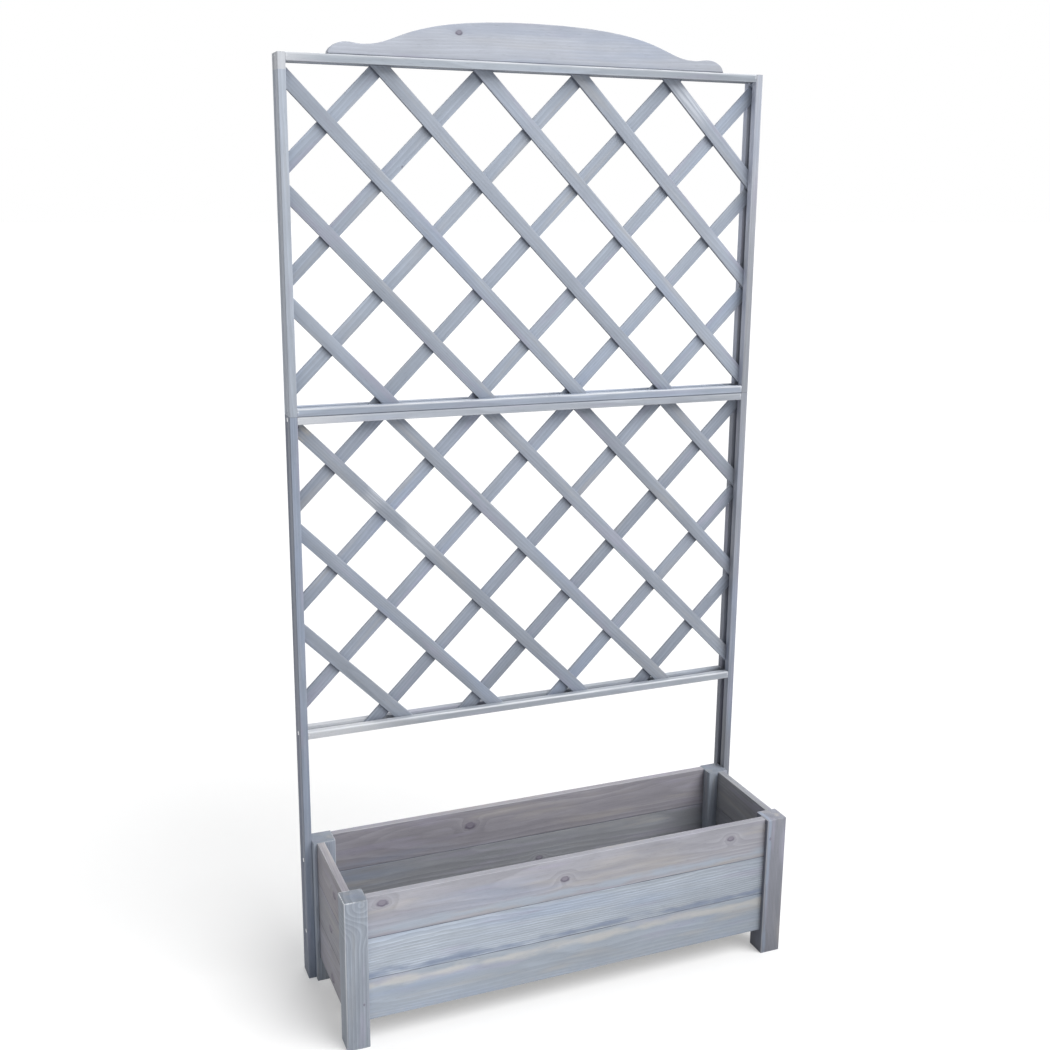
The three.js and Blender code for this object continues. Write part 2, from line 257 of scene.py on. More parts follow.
def growth_rings(nodes, wood, distances, seed, ring_width, pith, lean, swirl, waviness):
    """The rings that a board cuts: 0 to 1 across each ring, in lines along the grain."""
    wander = nodes.noise(nodes.spread(wood.place, 2.2, 9.0), seed, 1.0)
    ring_y = nodes.math("SUBTRACT", wood.across, nodes.scaled(wood.along, lean[0], pith[0]))
    ring_z = nodes.math("SUBTRACT", wood.into, nodes.scaled(wood.along, lean[1], pith[1]))
    ring_z = nodes.math("ADD", ring_z, nodes.scaled(wander, RING_WANDER, -RING_WANDER / 2))
    for distance in distances:
        push = nodes.math("EXPONENT", nodes.product(nodes.math("POWER", distance, 2.0), -0.22))
        ring_z = nodes.scaled(push, KNOT_PUSH, ring_z)
    if swirl:
        # Circles round the swirl, which turn into lines along the grain further down.
        swirl_along, swirl_across, straight = swirl
        offset = nodes.vector("SUBTRACT", wood.place, (swirl_along, swirl_across, 0))
        circles = nodes.length(nodes.vector("MULTIPLY", offset, (1, 1, 0)))
        lines = nodes.scaled(wood.across, SWIRL_PACKING, SWIRL_TO_LINES)
        share = nodes.between(nodes.math("SUBTRACT", swirl_along, wood.along),
                              0.1 * straight, straight)
        ring_y = nodes.scaled(share, nodes.math("SUBTRACT", lines, circles), circles)
        ring_y = nodes.math("SUBTRACT", ring_y, pith[0])
    inputs = {"Vector": nodes.joined(nodes.product(wood.along, waviness), ring_y, ring_z),
              "Scale": 0.1 * math.pi / ring_width, "Distortion": 2.6, "Detail": 2.0,
              "Detail Scale": 0.5, "Detail Roughness": 0.55, "Phase Offset": float(seed % 7)}
    return nodes.add("ShaderNodeTexWave", inputs, wave_type="RINGS", rings_direction="X",
                     wave_profile="SAW")[1]


BEIGE = screen_colour(184, 178, 170)
LILAC = screen_colour(166, 162, 182)
BLUE = screen_colour(146, 162, 190)
PALER, DEEPER = 1.34, 0.74            # latewood and early wood, next to the stain


def washed_stain(nodes, wood, stain, late, early, contrast, warmth):
    """The stain: paler on latewood, deeper and bluer in patches, thin and warm in others."""
    pale = tuple(min(1.0, value * PALER) for value in stain[:3]) + (1.0,)
    deep = tuple(value * DEEPER for value in stain[:3]) + (1.0,)
    clear = nodes.scaled(nodes.between(wood.wash, 0.35, 0.65), 0.30, 0.28)
    colour = nodes.tinted(stain, pale, late, clear, contrast)
    colour = nodes.tinted(colour, deep, early, 0.24 * contrast)
    colour = nodes.tinted(colour, deep, nodes.between(wood.broad, 0.58, 0.30), 0.40)
    colour = nodes.tinted(colour, BLUE, nodes.between(wood.broad, 0.50, 0.72), 0.35)
    colour = nodes.tinted(colour, BEIGE, nodes.between(wood.patch, 0.52, 0.75), warmth)
    return nodes.tinted(colour, LILAC, nodes.between(wood.patch, 0.46, 0.30), 0.35)


def streaked(nodes, wood, colour, bands, patches):
    """Broken streaks along the board, and patches on a stretch of it."""
    for band_across, width, band_colour, share in bands:
        offset = nodes.math("ABSOLUTE", nodes.math("SUBTRACT", wood.across, band_across))
        offset = nodes.scaled(wood.wash, 2.4 * width, nodes.math("ADD", offset, -width))
        colour = nodes.tinted(colour, band_colour, nodes.between(offset, width, 0.1 * width),
                              share)
    for patch_along, reach, patch_colour, share in patches:
        offset = nodes.math("ABSOLUTE", nodes.math("SUBTRACT", wood.along, patch_along))
        colour = nodes.tinted(colour, patch_colour, nodes.between(offset, reach, 0.2 * reach),
                              nodes.between(wood.streak, 0.35, 0.60), share)
    return colour


def knotted(nodes, wood, colour, distances, undersides):
    """A faint halo round each knot, its core, and its rim, which is darkest on the under side."""
    halo = nodes.largest(*(nodes.between(distance, 2.6, 0.8) for distance in distances))
    core = nodes.largest(*(nodes.between(distance, 1.0, 0.8) for distance in distances))
    rims = [nodes.product(nodes.between(distance, 0.45, 0.85), nodes.between(distance, 1.35, 0.95),
                          nodes.scaled(underside, 0.7, 0.3))
            for distance, underside in zip(distances, undersides)]
    colour = nodes.tinted(colour, KNOT_HALO, halo, 0.14)
    colour = nodes.tinted(colour, KNOT_CORE, core, 0.70)
    return nodes.tinted(colour, KNOT_RIM, nodes.largest(*rims),
                        nodes.scaled(wood.streak, 1.0, 0.3), 0.80)


def fine_grain(nodes, wood, contrast):
    """How light the wood is: long streaks, the fibres, short dark flecks and the uneven stain."""
    return nodes.product(nodes.scaled(wood.streak, 0.34 * contrast, 1.0 - 0.17 * contrast),
                         nodes.scaled(wood.fibre, 0.16, 0.92),
                         nodes.scaled(nodes.between(wood.fleck, 0.62, 0.76), -0.16, 1.0),
                         nodes.scaled(wood.wash, 0.16, 0.92))


SKIN = 0.0004                         # what still counts as lying on a face
SHADE_REACH = 0.0060                  # how far the painted shadow under an overlapping slat reaches
# Painted shade, and also the stain gathered along joints
SHADE_AND_POOLED_STAIN = screen_colour(82, 86, 100)


def shade_and_pooled_stain(nodes, wood, colour, seams, painted_shade_edge, groove, overlap):
    """Painted shade along the joints, where some stain has gathered too, on the face of one edge, in
    the groove, and a painted shadow under a crossing slat.
    """
    top = wood.half[1]
    for seam, reach in seams:
        gap = nodes.scaled(wood.across, -seam, top)
        share = nodes.scaled(nodes.between(wood.patch, 0.35, 0.60), 0.40, 0.35)
        colour = nodes.tinted(colour, SHADE_AND_POOLED_STAIN, nodes.between(gap, reach, 0.3 * reach), share)
    # Painted shade on the whole face of one edge, turned from the light.
    if painted_shade_edge:
        edge, share = painted_shade_edge
        on_edge = nodes.between(nodes.product(wood.across, edge), top - SKIN, top - SKIN / 2)
        colour = nodes.tinted(colour, SHADE_AND_POOLED_STAIN, on_edge, share)
    # Painted shade down in the groove.
    if groove:
        edge, half_width, depth = groove
        between_lips = nodes.between(nodes.math("ABSOLUTE", wood.into), half_width + SKIN,
                                     half_width + SKIN / 2)
        level = nodes.product(wood.across, edge)
        in_groove = nodes.between(level, top - depth - SKIN, top - depth)
        deep = nodes.between(level, top - 0.3 * depth, top - depth)
        colour = nodes.tinted(colour, SHADE_AND_POOLED_STAIN, between_lips, in_groove, deep, 0.6)
    # A painted shadow on a rear slat, just below the lower edge of the front slat that crosses it.
    if overlap:
        beyond = overlap(nodes)
        corner = nodes.math("POWER", nodes.between(beyond, SHADE_REACH, 0.0), 1.6)
        uncovered = nodes.between(beyond, -0.0015, -0.0005)
        colour = nodes.tinted(colour, SHADE_AND_POOLED_STAIN, corner, uncovered, 0.75)
    return colour


# Arrises worn pale, together with a painted highlight where they catch the light.
WORN_AND_HIGHLIT = screen_colour(228, 231, 236)
SEAM_CLEAR = (0.001, 0.004)           # nothing is worn and highlit up to the first, and all of it past the second


def arris_distance(nodes, wood):
    """How far a point on the surface is from the nearest arris: of its distances to the three
    faces, the middle one. A slat, whose length isn't given, has only its long arrises."""
    insets = [nodes.math("SUBTRACT", size, nodes.math("ABSOLUTE", value))
              for size, value in zip(wood.half, (wood.along, wood.across, wood.into))
              if size is not None]
    if len(insets) == 2:
        return nodes.math("MAXIMUM", *insets)
    near = nodes.math("MINIMUM", insets[0], insets[1])
    far = nodes.math("MAXIMUM", insets[0], insets[1])
    return nodes.math("MAXIMUM", near, nodes.math("MINIMUM", far, insets[2]))


def worn_and_highlit_arrises(nodes, wood, colour, wear_and_highlight, wear_and_highlight_reach, seams):
    """The stain worn thin on the free arrises, with a painted highlight on them, most of all along
    one edge.
    """
    wear_and_highlight_edge, wear_and_highlight_share = wear_and_highlight
    arris = nodes.between(arris_distance(nodes, wood), wear_and_highlight_reach, 0.3 * wear_and_highlight_reach)
    patchy = nodes.scaled(nodes.between(wood.streak, 0.40, 0.62), 0.6, 0.4)
    side = nodes.between(nodes.product(wood.across, wear_and_highlight_edge), -0.001, 0.001)
    shares = [arris, patchy, nodes.scaled(side, 0.75, 0.25)]
    for seam, _ in seams:
        shares.append(nodes.between(nodes.product(wood.across, seam),
                                    wood.half[1] - SEAM_CLEAR[0], wood.half[1] - SEAM_CLEAR[1]))
    return nodes.tinted(colour, WORN_AND_HIGHLIT, *shares, wear_and_highlight_share)


BARE = screen_colour(204, 206, 210)


def stained_timber(name, placed, stain, seed, ring_width=0.0042, pith=(0.012, -0.055),
                   lean=(0.004, 0.010), swirl=None, knots=(), bands=(), patches=(), seams=(),
                   groove=None, painted_shade_edge=None, pale_end=None, contrast=1.0, warmth=0.35,
                   waviness=0.12, wear_and_highlight=(1, 0.3), wear_and_highlight_reach=0.0024, painted_light_gradient=0.0, end_grain=0.74,
                   tone=None, overlap=None):
    """Softwood under a thin stain, cut from a log whose pith runs below the face of the board.

    placed gives the place on the board and the board's half sizes. pith and lean say where the
    pith runs and how it slopes, and a swirl (along, across, reach) bends the grain. A knot is
    (along, across, radius). A band is (across, width, colour, share), a broken streak along
    the board, and a patch (along, reach, colour, share). An edge is -1 or 1: a seam is (edge,
    reach), where another board lies on this one, and painted shade, with some gathered stain,
    darkens that joint; groove is (edge, half width, depth), and painted shade darkens the
    groove; painted_shade_edge is (edge, share), painted shade on the face of that edge; and wear
    (edge, share) is the stain worn off the arrises over wear_and_highlight_reach together with a
    painted highlight on them, most along that edge. From the first value of pale_end to the second
    the stain gets thin. drift is how much lighter the board gets in a metre, painted light that
    falls off along it, and end_grain how light its cut ends are, next to its faces. tone scales
    the whole colour, and overlap gives the distance from a slat that lies over this one, below
    whose lower edge a shadow is painted.
    """
    material, nodes = new_finish(name)
    wood = wood_at(nodes, placed, seed)
    distances, undersides = knot_distances(nodes, wood, knots, seed)
    ring = growth_rings(nodes, wood, distances, seed, ring_width, pith, lean, swirl, waviness)
    late = nodes.product(nodes.between(ring, 0.35, 0.85), nodes.between(ring, 1.00, 0.90))
    early = nodes.between(ring, 0.30, 0.02)

    colour = washed_stain(nodes, wood, stain, late, early, contrast, warmth)
    colour = streaked(nodes, wood, colour, bands, patches)
    if knots:
        colour = knotted(nodes, wood, colour, distances, undersides)
    if pale_end:
        speckle = nodes.noise(nodes.spread(wood.place, 420.0, 520.0), seed + 3.3, 1.0)
        colour = nodes.tinted(colour, BARE, nodes.between(wood.along, *pale_end),
                              nodes.scaled(speckle, 0.4, 0.55))

    light = fine_grain(nodes, wood, contrast)
    # Painted light: the colour gets lighter or darker along the piece, as if the light fell off
    # along it.
    if painted_light_gradient:
        light = nodes.product(light, nodes.scaled(wood.along, painted_light_gradient, 1.0))
    if tone:
        light = nodes.product(light, tone(nodes))
    reach = wood.half[0]
    if reach is not None:
        cut_end = nodes.between(nodes.math("ABSOLUTE", wood.along), reach - SKIN, reach - SKIN / 2)
        light = nodes.product(light, nodes.scaled(cut_end, end_grain - 1, 1.0))
    colour = nodes.darker(colour, light)
    colour = shade_and_pooled_stain(nodes, wood, colour, seams, painted_shade_edge, groove, overlap)
    colour = worn_and_highlit_arrises(nodes, wood, colour, wear_and_highlight, wear_and_highlight_reach, seams)

    relief = nodes.scaled(wood.streak, 0.7, nodes.product(wood.fibre, 0.5))
    relief = nodes.scaled(late, 0.5 * contrast, relief)
    bump = nodes.add("ShaderNodeBump", {"Strength": 0.35, "Distance": 0.0006, "Height": relief})[0]
    shader = nodes.add("ShaderNodeBsdfPrincipled",
                       {"Base Color": colour, "Roughness": nodes.scaled(wood.streak, 0.22, 0.50),
                        "Normal": bump, "Specular IOR Level": 0.3})[0]
    nodes.add("ShaderNodeOutputMaterial", {0: shader})
    return material


EASED_EDGE = 0.0006
SAME_POINT = 2e-6
FLAT_WITHIN, SMOOTH_WITHIN = math.radians(1), math.radians(32)
BOARD_CORNER, SLAT_CORNER = math.radians(40), math.radians(30)      # sharper edges are eased


def clean_skin(node):
    """The solid's own shape as one closed skin of whole faces."""
    skin = bmesh.new()
    skin.from_mesh(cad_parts[node].data)
    bmesh.ops.remove_doubles(skin, verts=skin.verts, dist=SAME_POINT)
    bmesh.ops.dissolve_limit(skin, angle_limit=FLAT_WITHIN, verts=skin.verts, edges=skin.edges)
    return skin


def ease(skin, width, corner):
    """Rounds every edge at which two faces meet more sharply than the angle of a corner."""
    sharp = [edge for edge in skin.edges if edge.calc_face_angle(0) > corner]
    bmesh.ops.bevel(skin, geom=sharp, offset=width, segments=2, profile=0.5,
                    affect="EDGES", clamp_overlap=True)


def sawn_piece(node, material):
    """The piece that shows: the solid's skin with its sharp edges eased."""
    skin = clean_skin(node)
    ease(skin, EASED_EDGE, BOARD_CORNER)
    mesh = bpy.data.meshes.new(f"{node}_wood")
    skin.to_mesh(mesh)
    skin.free()
    return finished(mesh, f"{node}_wood", material, [node])


def finished(mesh, name, material, nodes_replaced):
    """Gives a mesh its material and its smooth arrises, and ties it to the frame."""
    mesh.materials.clear()
    mesh.materials.append(material)
    mesh.polygons.foreach_set("use_smooth", [True] * len(mesh.polygons))
    mesh.set_sharp_from_angle(angle=SMOOTH_WITHIN)
    made = in_scene(name, mesh)
    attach(made, "root")
    if nodes_replaced:
        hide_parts(*nodes_replaced)
    return made


LEG_GREY = screen_colour(150, 158, 170)
LEGS = {
    # Flat-sawn legs show arches, quarter-sawn ones show straight lines.
    "leg_front_left": {"stain": screen_colour(147, 154, 165), "pith": (-0.075, -0.012),
                       "lean": (0.01, 0.02),
                       "ring_width": 0.0110, "swirl": (0.147, 0.010, 0.095),
                       "knots": ((-0.062, 0.012, 0.0018),),
                       # Its left arrises are worn pale and carry a painted highlight.
                       "contrast": 1.15, "warmth": 0.2, "wear_and_highlight": (-1, 0.8),
                       # Its top is darker than end grain alone makes it: painted shade.
                       "end_grain": 0.66},
    # Its stain is darker than the front left leg's, painted shade, and gets lighter towards its top,
    # painted light. Its left face gets painted shade, its cut ends come out lighter than its faces
    # as painted light on its top, and its band is a painted highlight along its left edge, where the
    # rounded arris catches the light.
    "leg_front_right": {"stain": screen_colour(129, 131, 140), "pith": (0.06, -0.03),
                        "ring_width": 0.0036,
                        "knots": ((0.1125, -0.014, 0.0024),), "contrast": 0.8, "warmth": 0.4,
                        "painted_light_gradient": 0.85, "wear_and_highlight": (-1, 0.2), "painted_shade_edge": (-1, 0.6),
                        "end_grain": 1.1,
                        "bands": ((-0.0165, 0.0075, screen_colour(144, 154, 171), 0.8),)},
    "leg_rear_left": {"stain": LEG_GREY, "pith": (-0.02, -0.04), "lean": (0.01, 0.03)},
    "leg_rear_right": {"stain": LEG_GREY, "pith": (0.015, 0.05), "lean": (0.01, 0.04)},
}
for seed, (node, look) in enumerate(LEGS.items(), 3):
    sawn_piece(node, stained_timber(f"{node}_stain", on_board(node, "z"), seed=seed, **look))


# ---- Wall boards ----
# Three planed boards to each wall, one on top of another, housed in the legs at their ends.
# The boards come from different stock: some are warm and knotty, some blue and fine-grained.
BLUE_BAND = screen_colour(125, 137, 161)
LOWER_SEAM, UPPER_SEAM = (-1, 0.0016), (1, 0.0012)      # the edge, and how far painted shade, with some gathered stain, reaches from the joint
SEAMS_OF_ROW = {1: (UPPER_SEAM,), 2: (LOWER_SEAM, UPPER_SEAM), 3: (LOWER_SEAM,)}
FRONT_BOARDS = {
    # Each front board gets darker towards the right: painted light.
    3: {"stain": screen_colour(161, 161, 169), "pith": (0.03, -0.11), "lean": (0.006, 0.012),
        "knots": ((-0.400, 0.026, 0.0078), (-0.028, -0.001, 0.0070), (0.348, 0.014, 0.0065)),
        "bands": ((-0.030, 0.015, screen_colour(168, 177, 190), 0.9),), "contrast": 0.80,
        "warmth": 0.4, "painted_light_gradient": -0.28},
    2: {"stain": screen_colour(167, 175, 186), "pith": (0.055, -0.03), "lean": (0.010, 0.002),
        "contrast": 1.4, "warmth": 0.1, "waviness": 0.45, "painted_light_gradient": -0.43,
        "bands": ((-0.035, 0.0140, BLUE_BAND, 0.78),)},
    1: {"stain": screen_colour(157, 165, 176), "pith": (0.02, -0.09), "lean": (0.012, 0.006),
        "ring_width": 0.0030, "contrast": 0.6, "warmth": 0.4, "painted_light_gradient": -0.43,
        "bands": ((0.027, 0.016, screen_colour(191, 190, 188), 0.80),)},
}
for row, look in FRONT_BOARDS.items():
    node = f"front_board_{row}"
    sawn_piece(node, stained_timber(f"{node}_stain", on_board(node, "x"), seed=20 + row,
                                    seams=SEAMS_OF_ROW[row], wear_and_highlight=(1, 0.15), **look))

SIDE_GREY = (148, 148, 154)
stock = random.Random(4)
for wall, along in (("rear", "x"), ("left", "y"), ("right", "y")):
    for row, seams in SEAMS_OF_ROW.items():
        node = f"{wall}_board_{row}"
        low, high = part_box(node)
        length = max(high - low)
        knot = (stock.uniform(-0.4, 0.4) * length, stock.uniform(-0.03, 0.03),
                stock.uniform(0.005, 0.010))
        shade = stock.uniform(-5, 5)
        stain = screen_colour(*(value + shade + stock.uniform(-1.5, 1.5) for value in SIDE_GREY))
        look = stained_timber(f"{node}_stain", on_board(node, along), stain,
                              seed=stock.uniform(30, 90), pith=(stock.uniform(-0.05, 0.05), -0.08),
                              lean=(0.005, stock.uniform(0.004, 0.03)), knots=(knot,),
                              seams=seams, contrast=0.9)
        sawn_piece(node, look)


# ---- Floor ----
# Long boards with drainage gaps between them, lying on three cross bearers that are screwed
# to the lowest wall boards. They are sawn, not planed, and have only taken a thin grey stain.
FLOOR_GREY = screen_colour(150, 146, 138)
for kind, along in (("floor_bearer", "y"), ("floor_board", "x")):
    for number in (1, 2, 3):
        node = f"{kind}_{number}"
        knot = (stock.uniform(-0.1, 0.1), stock.uniform(-0.01, 0.01), 0.006)
        look = stained_timber(f"{node}_stain", on_board(node, along), FLOOR_GREY,
                              seed=stock.uniform(100, 160), pith=(stock.uniform(-0.03, 0.03), -0.06),
                              lean=(0.004, 0.02), knots=(knot,), warmth=0.8)
        sawn_piece(node, look)


# ---- Trellis frame ----
# Stiles and rails of 15 x 45 mm planed spruce with one groove along the inner edge. The
# stiles stand outside the rear legs, and the rails are screwed between them.
SCREW_HEAD_RADIUS = 0.0041
COUNTERSINK_RIM = 0.0013              # how much wider than the head the cone is at the face
COUNTERSINK_DEPTH = 0.0024
COUNTERSINK_FACETS = 28


def countersunk(piece, spots, outwards):
    """Cuts a cone at 45 degrees for each screw head into the outer face of a stile."""
    cutter = bmesh.new()
    radius = SCREW_HEAD_RADIUS + COUNTERSINK_RIM
    turn = outwards.to_track_quat("Z", "Y").to_matrix().to_4x4()
    for spot in spots:
        bmesh.ops.create_cone(cutter, cap_ends=True, segments=COUNTERSINK_FACETS,
                              radius1=radius - COUNTERSINK_DEPTH,
                              radius2=radius + COUNTERSINK_DEPTH,
                              depth=2 * COUNTERSINK_DEPTH, matrix=Matrix.Translation(spot) @ turn)
    mesh = bpy.data.meshes.new("countersinks")
    cutter.to_mesh(mesh)
    cutter.free()
    tool = in_scene("countersinks", mesh)
    cut = piece.modifiers.new("countersinks", "BOOLEAN")
    cut.object, cut.operation, cut.solver = tool, "DIFFERENCE", "EXACT"
    bpy.context.view_layer.update()
    evaluated = piece.evaluated_get(bpy.context.evaluated_depsgraph_get())
    piece.data = bpy.data.meshes.new_from_object(evaluated)
    piece.modifiers.clear()
    piece.data.set_sharp_from_angle(angle=SMOOTH_WITHIN)
    bpy.data.objects.remove(tool)


GROOVE_HALF_WIDTH, GROOVE_DEPTH = 0.00745, 0.008
STILES = {                            # the groove is on the inner edge, 1 on the left stiles
    # The left stiles get painted shade on their outer faces, and three stiles get lighter towards
    # the top: painted light.
    "stile_lower_left": {"stain": screen_colour(140, 149, 165), "pith": (0.0, -0.03),
                         "painted_shade_edge": (-1, 0.51)},
    "stile_upper_left": {"stain": screen_colour(175, 183, 195), "pith": (0.01, -0.04),
                         "painted_shade_edge": (-1, 0.24), "pale_end": (0.292, 0.2935), "painted_light_gradient": 0.05},
    "stile_lower_right": {"stain": screen_colour(139, 143, 153), "pith": (0.01, -0.035),
                          "painted_light_gradient": 0.28},
    "stile_upper_right": {"stain": screen_colour(169, 173, 182), "pith": (-0.01, -0.03),
                          "painted_light_gradient": 0.42,
                          # This band lightens the lips of its inner face and that arris: painted
                          # light.
                          "bands": ((-0.0075, 0.0015, screen_colour(186, 192, 208), 0.9),)},
}
RAILS = {
    # The rails get darker towards the right, painted light, and the top rail's under face gets
    # painted shade.
    "rail_lower_bottom": {"stain": screen_colour(164, 170, 179), "painted_light_gradient": -0.10,
                          "pale_end": (-0.24, -0.39)},
    "rail_lower_top": {"stain": screen_colour(172, 178, 188), "painted_light_gradient": -0.28,
                       "seams": (UPPER_SEAM,), "pale_end": (-0.30, -0.47)},
    "rail_upper_bottom": {"stain": screen_colour(162, 171, 186), "painted_light_gradient": -0.20,
                          "seams": (LOWER_SEAM,)},
    "rail_upper_top": {"stain": screen_colour(173, 181, 191), "painted_light_gradient": -0.38,
                       "painted_shade_edge": (-1, 0.85), "pale_end": (-0.38, -0.50)},
}
RAIL_WEAR_AND_HIGHLIGHT_REACH = 0.0042              # the rails' arrises are worn, and painted highlit, wider than the others
LEG_SCREW_HEIGHTS = (0.102, 0.262)
LEG_SCREW_SETBACK = 0.015             # behind the front of the stile, over the middle of its lap

bars = {}
# Stiles and rails get painted shade in their grooves, and worn arrises with a painted highlight,
# strongest along the rails' tops.
for seed, (node, look) in enumerate(STILES.items(), 200):
    inner_edge = 1 if "left" in node else -1
    stain = stained_timber(f"{node}_stain", on_board(node, "z"), seed=seed, lean=(0.006, 0.012),
                           contrast=0.7, warmth=0.15, wear_and_highlight=(inner_edge, 0.05),
                           groove=(inner_edge, GROOVE_HALF_WIDTH, GROOVE_DEPTH), **look)
    bars[node] = sawn_piece(node, stain)
for seed, (node, look) in enumerate(RAILS.items(), 210):
    inner_edge = 1 if "bottom" in node else -1
    stain = stained_timber(f"{node}_stain", on_board(node, "x"), seed=seed, pith=(0.01, -0.05),
                           lean=(0.003, 0.004), contrast=0.8, warmth=0.2, wear_and_highlight=(1, 0.95),
                           wear_and_highlight_reach=RAIL_WEAR_AND_HIGHLIGHT_REACH,
                           groove=(inner_edge, GROOVE_HALF_WIDTH, GROOVE_DEPTH), **look)
    bars[node] = sawn_piece(node, stain)

screw_spots = []
for side_name, side in (("left", -1), ("right", 1)):
    for level in ("lower", "upper"):
        stile = f"stile_{level}_{side_name}"
        low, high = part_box(stile)
        face = high.x if side > 0 else low.x
        spots = []
        for rail in (f"rail_{level}_bottom", f"rail_{level}_top"):
            rail_low, rail_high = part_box(rail)
            middle = (rail_low + rail_high) / 2
            spots.append(Vector((face, middle.y, middle.z)))
        if level == "lower":
            spots += [Vector((face, low.y + LEG_SCREW_SETBACK, height))
                      for height in LEG_SCREW_HEIGHTS]
        countersunk(bars[stile], spots, Vector((side, 0, 0)))
        screw_spots += [(spot, side, level) for spot in spots]


# ---- Lattice ----
# Thin slats in two layers that cross at right angles, each layer of equal slats at one pitch.
# Their ends are trimmed parallel to the bars and sit in the grooves.
def group_tree(name, sockets):
    """A geometry tree with named inputs, given as (name, socket type, default)."""
    tree = bpy.data.node_groups.new(name, "GeometryNodeTree")
    for socket_name, socket_type, default in sockets:
        socket = tree.interface.new_socket(socket_name, in_out="INPUT", socket_type=socket_type)
        if default is not None:
            socket.default_value = default
    tree.interface.new_socket("Geometry", in_out="OUTPUT", socket_type="NodeSocketGeometry")
    nodes = Nodes(tree)
    return tree, nodes, nodes.add("NodeGroupInput")


def grown(tree, name, values, base=None):
    """Runs a geometry tree on a mesh and gives its result as a plain mesh."""
    carrier = in_scene(name, base or bpy.data.meshes.new(name))
    modifier = carrier.modifiers.new(name, "NODES")
    modifier.node_group = tree
    for item in tree.interface.items_tree:
        if item.in_out == "INPUT" and item.name in values:
            modifier[item.identifier] = values[item.name]
    bpy.context.view_layer.update()
    evaluated = carrier.evaluated_get(bpy.context.evaluated_depsgraph_get())
    mesh = bpy.data.meshes.new_from_object(evaluated)
    carrier.modifiers.clear()
    bpy.data.objects.remove(carrier)
    return mesh


def combined(tree, operation, solids, base=None):
    """Solids worked together exactly: what they share, or what they leave of a base."""
    boolean = tree.nodes.new("GeometryNodeMeshBoolean")
    boolean.operation, boolean.solver = operation, "EXACT"
    if base is not None:
        tree.links.new(base, boolean.inputs["Mesh 1"])
    for solid in solids:
        tree.links.new(solid, boolean.inputs["Mesh 2"])
    return boolean.outputs[0]


def give_out(nodes, geometry, material):
    """The end of each tree: its instances made real, with their material."""
    real = nodes.add("GeometryNodeRealizeInstances", {0: geometry})[0]
    real = nodes.add("GeometryNodeSetMaterial", {"Geometry": real, "Material": material})[0]
    nodes.add("NodeGroupOutput", {0: real})


NUMBER, WHOLE, VECTOR = "NodeSocketFloat", "NodeSocketInt", "NodeSocketVector"
POINTS, FINISH = "NodeSocketGeometry", "NodeSocketMaterial"
SLATS_PER_LAYER = 7
SLAT_WIDTH = 0.026
slat_low, slat_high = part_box("slat_upper_front_1")
SLAT_THICKNESS = slat_high.y - slat_low.y
SLAT_EASED = 0.0008
LONGER_THAN_ANY = 2.0
SLAT_SHIFT = 3.7                      # how far along the log the next slat of a layer was cut
PAST_THE_LAYER = Vector((0, 0.01, 0))     # how much deeper than the slats the trimming box is


def lattice_layer_tree():
    """Slats laid side by side at an angle, then trimmed by a box."""
    tree, nodes, given = group_tree("lattice_layer", [
        ("Geometry", POINTS, None), ("Slats", WHOLE, SLATS_PER_LAYER),
        ("Slat Size", VECTOR, None), ("First", VECTOR, None), ("Step", VECTOR, None),
        ("Turn", NUMBER, math.pi / 4), ("Trim Size", VECTOR, None), ("Trim Middle", VECTOR, None),
        ("Material", FINISH, None),
    ])
    line = nodes.add("GeometryNodeMeshLine",
                     {"Count": given["Slats"], "Start Location": given["First"],
                      "Offset": given["Step"]}, mode="OFFSET")[0]
    strip = nodes.add("GeometryNodeMeshCube", {"Size": given["Slat Size"]})[0]
    strips = nodes.add("GeometryNodeInstanceOnPoints",
                       {"Points": line, "Instance": strip,
                        "Rotation": nodes.joined(y=given["Turn"])})[0]
    strips = nodes.add("GeometryNodeRealizeInstances", {0: strips})[0]
    trim = nodes.add("GeometryNodeMeshCube", {"Size": given["Trim Size"]})[0]
    trim = nodes.add("GeometryNodeTransform",
                     {"Geometry": trim, "Translation": given["Trim Middle"]})[0]
    give_out(nodes, combined(tree, "INTERSECT", (trim, strips)), given["Material"])
    return tree


def slat_lines(names):
    """The direction of the slats of a layer, falling or rising to the right, the normal that
    points up across them, and how far along that normal each slat's middle line lies."""
    middle = clean_skin(names[len(names) // 2])
    longest = max(middle.edges, key=lambda edge: edge.calc_length())
    direction = (longest.verts[1].co - longest.verts[0].co).normalized()
    middle.free()
    if direction.x < 0:
        direction.negate()
    across = Vector((-direction.z, 0, direction.x))
    lines = []
    for name in names:
        reach = [vertex.co.dot(across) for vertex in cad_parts[name].data.vertices]
        lines.append((min(reach) + max(reach)) / 2)
    return direction, across, lines


def on_slats(direction, across, lines, depth):
    """For whichever slat of a layer is there: the place on it, on the same axes as on a board,
    and its number, counted from 0."""
    pitch = (lines[-1] - lines[0]) / (len(lines) - 1)
    turn = Matrix((direction, across, direction.cross(across)))

    def numbered(nodes):
        along, over, into = nodes.parts(nodes.turned(turn, turn @ Vector((0, -depth, 0))))
        count = nodes.math("DIVIDE", nodes.math("SUBTRACT", over, lines[0]), pitch)
        return along, over, into, nodes.math("ROUND", count)

    def place(nodes):
        along, over, into, count = numbered(nodes)
        over = nodes.math("SUBTRACT", over, nodes.scaled(count, pitch, lines[0]))
        local = nodes.joined(nodes.scaled(count, SLAT_SHIFT, along), over, into)
        return local, (None, SLAT_WIDTH / 2, SLAT_THICKNESS / 2)

    return place, lambda nodes: numbered(nodes)[3]


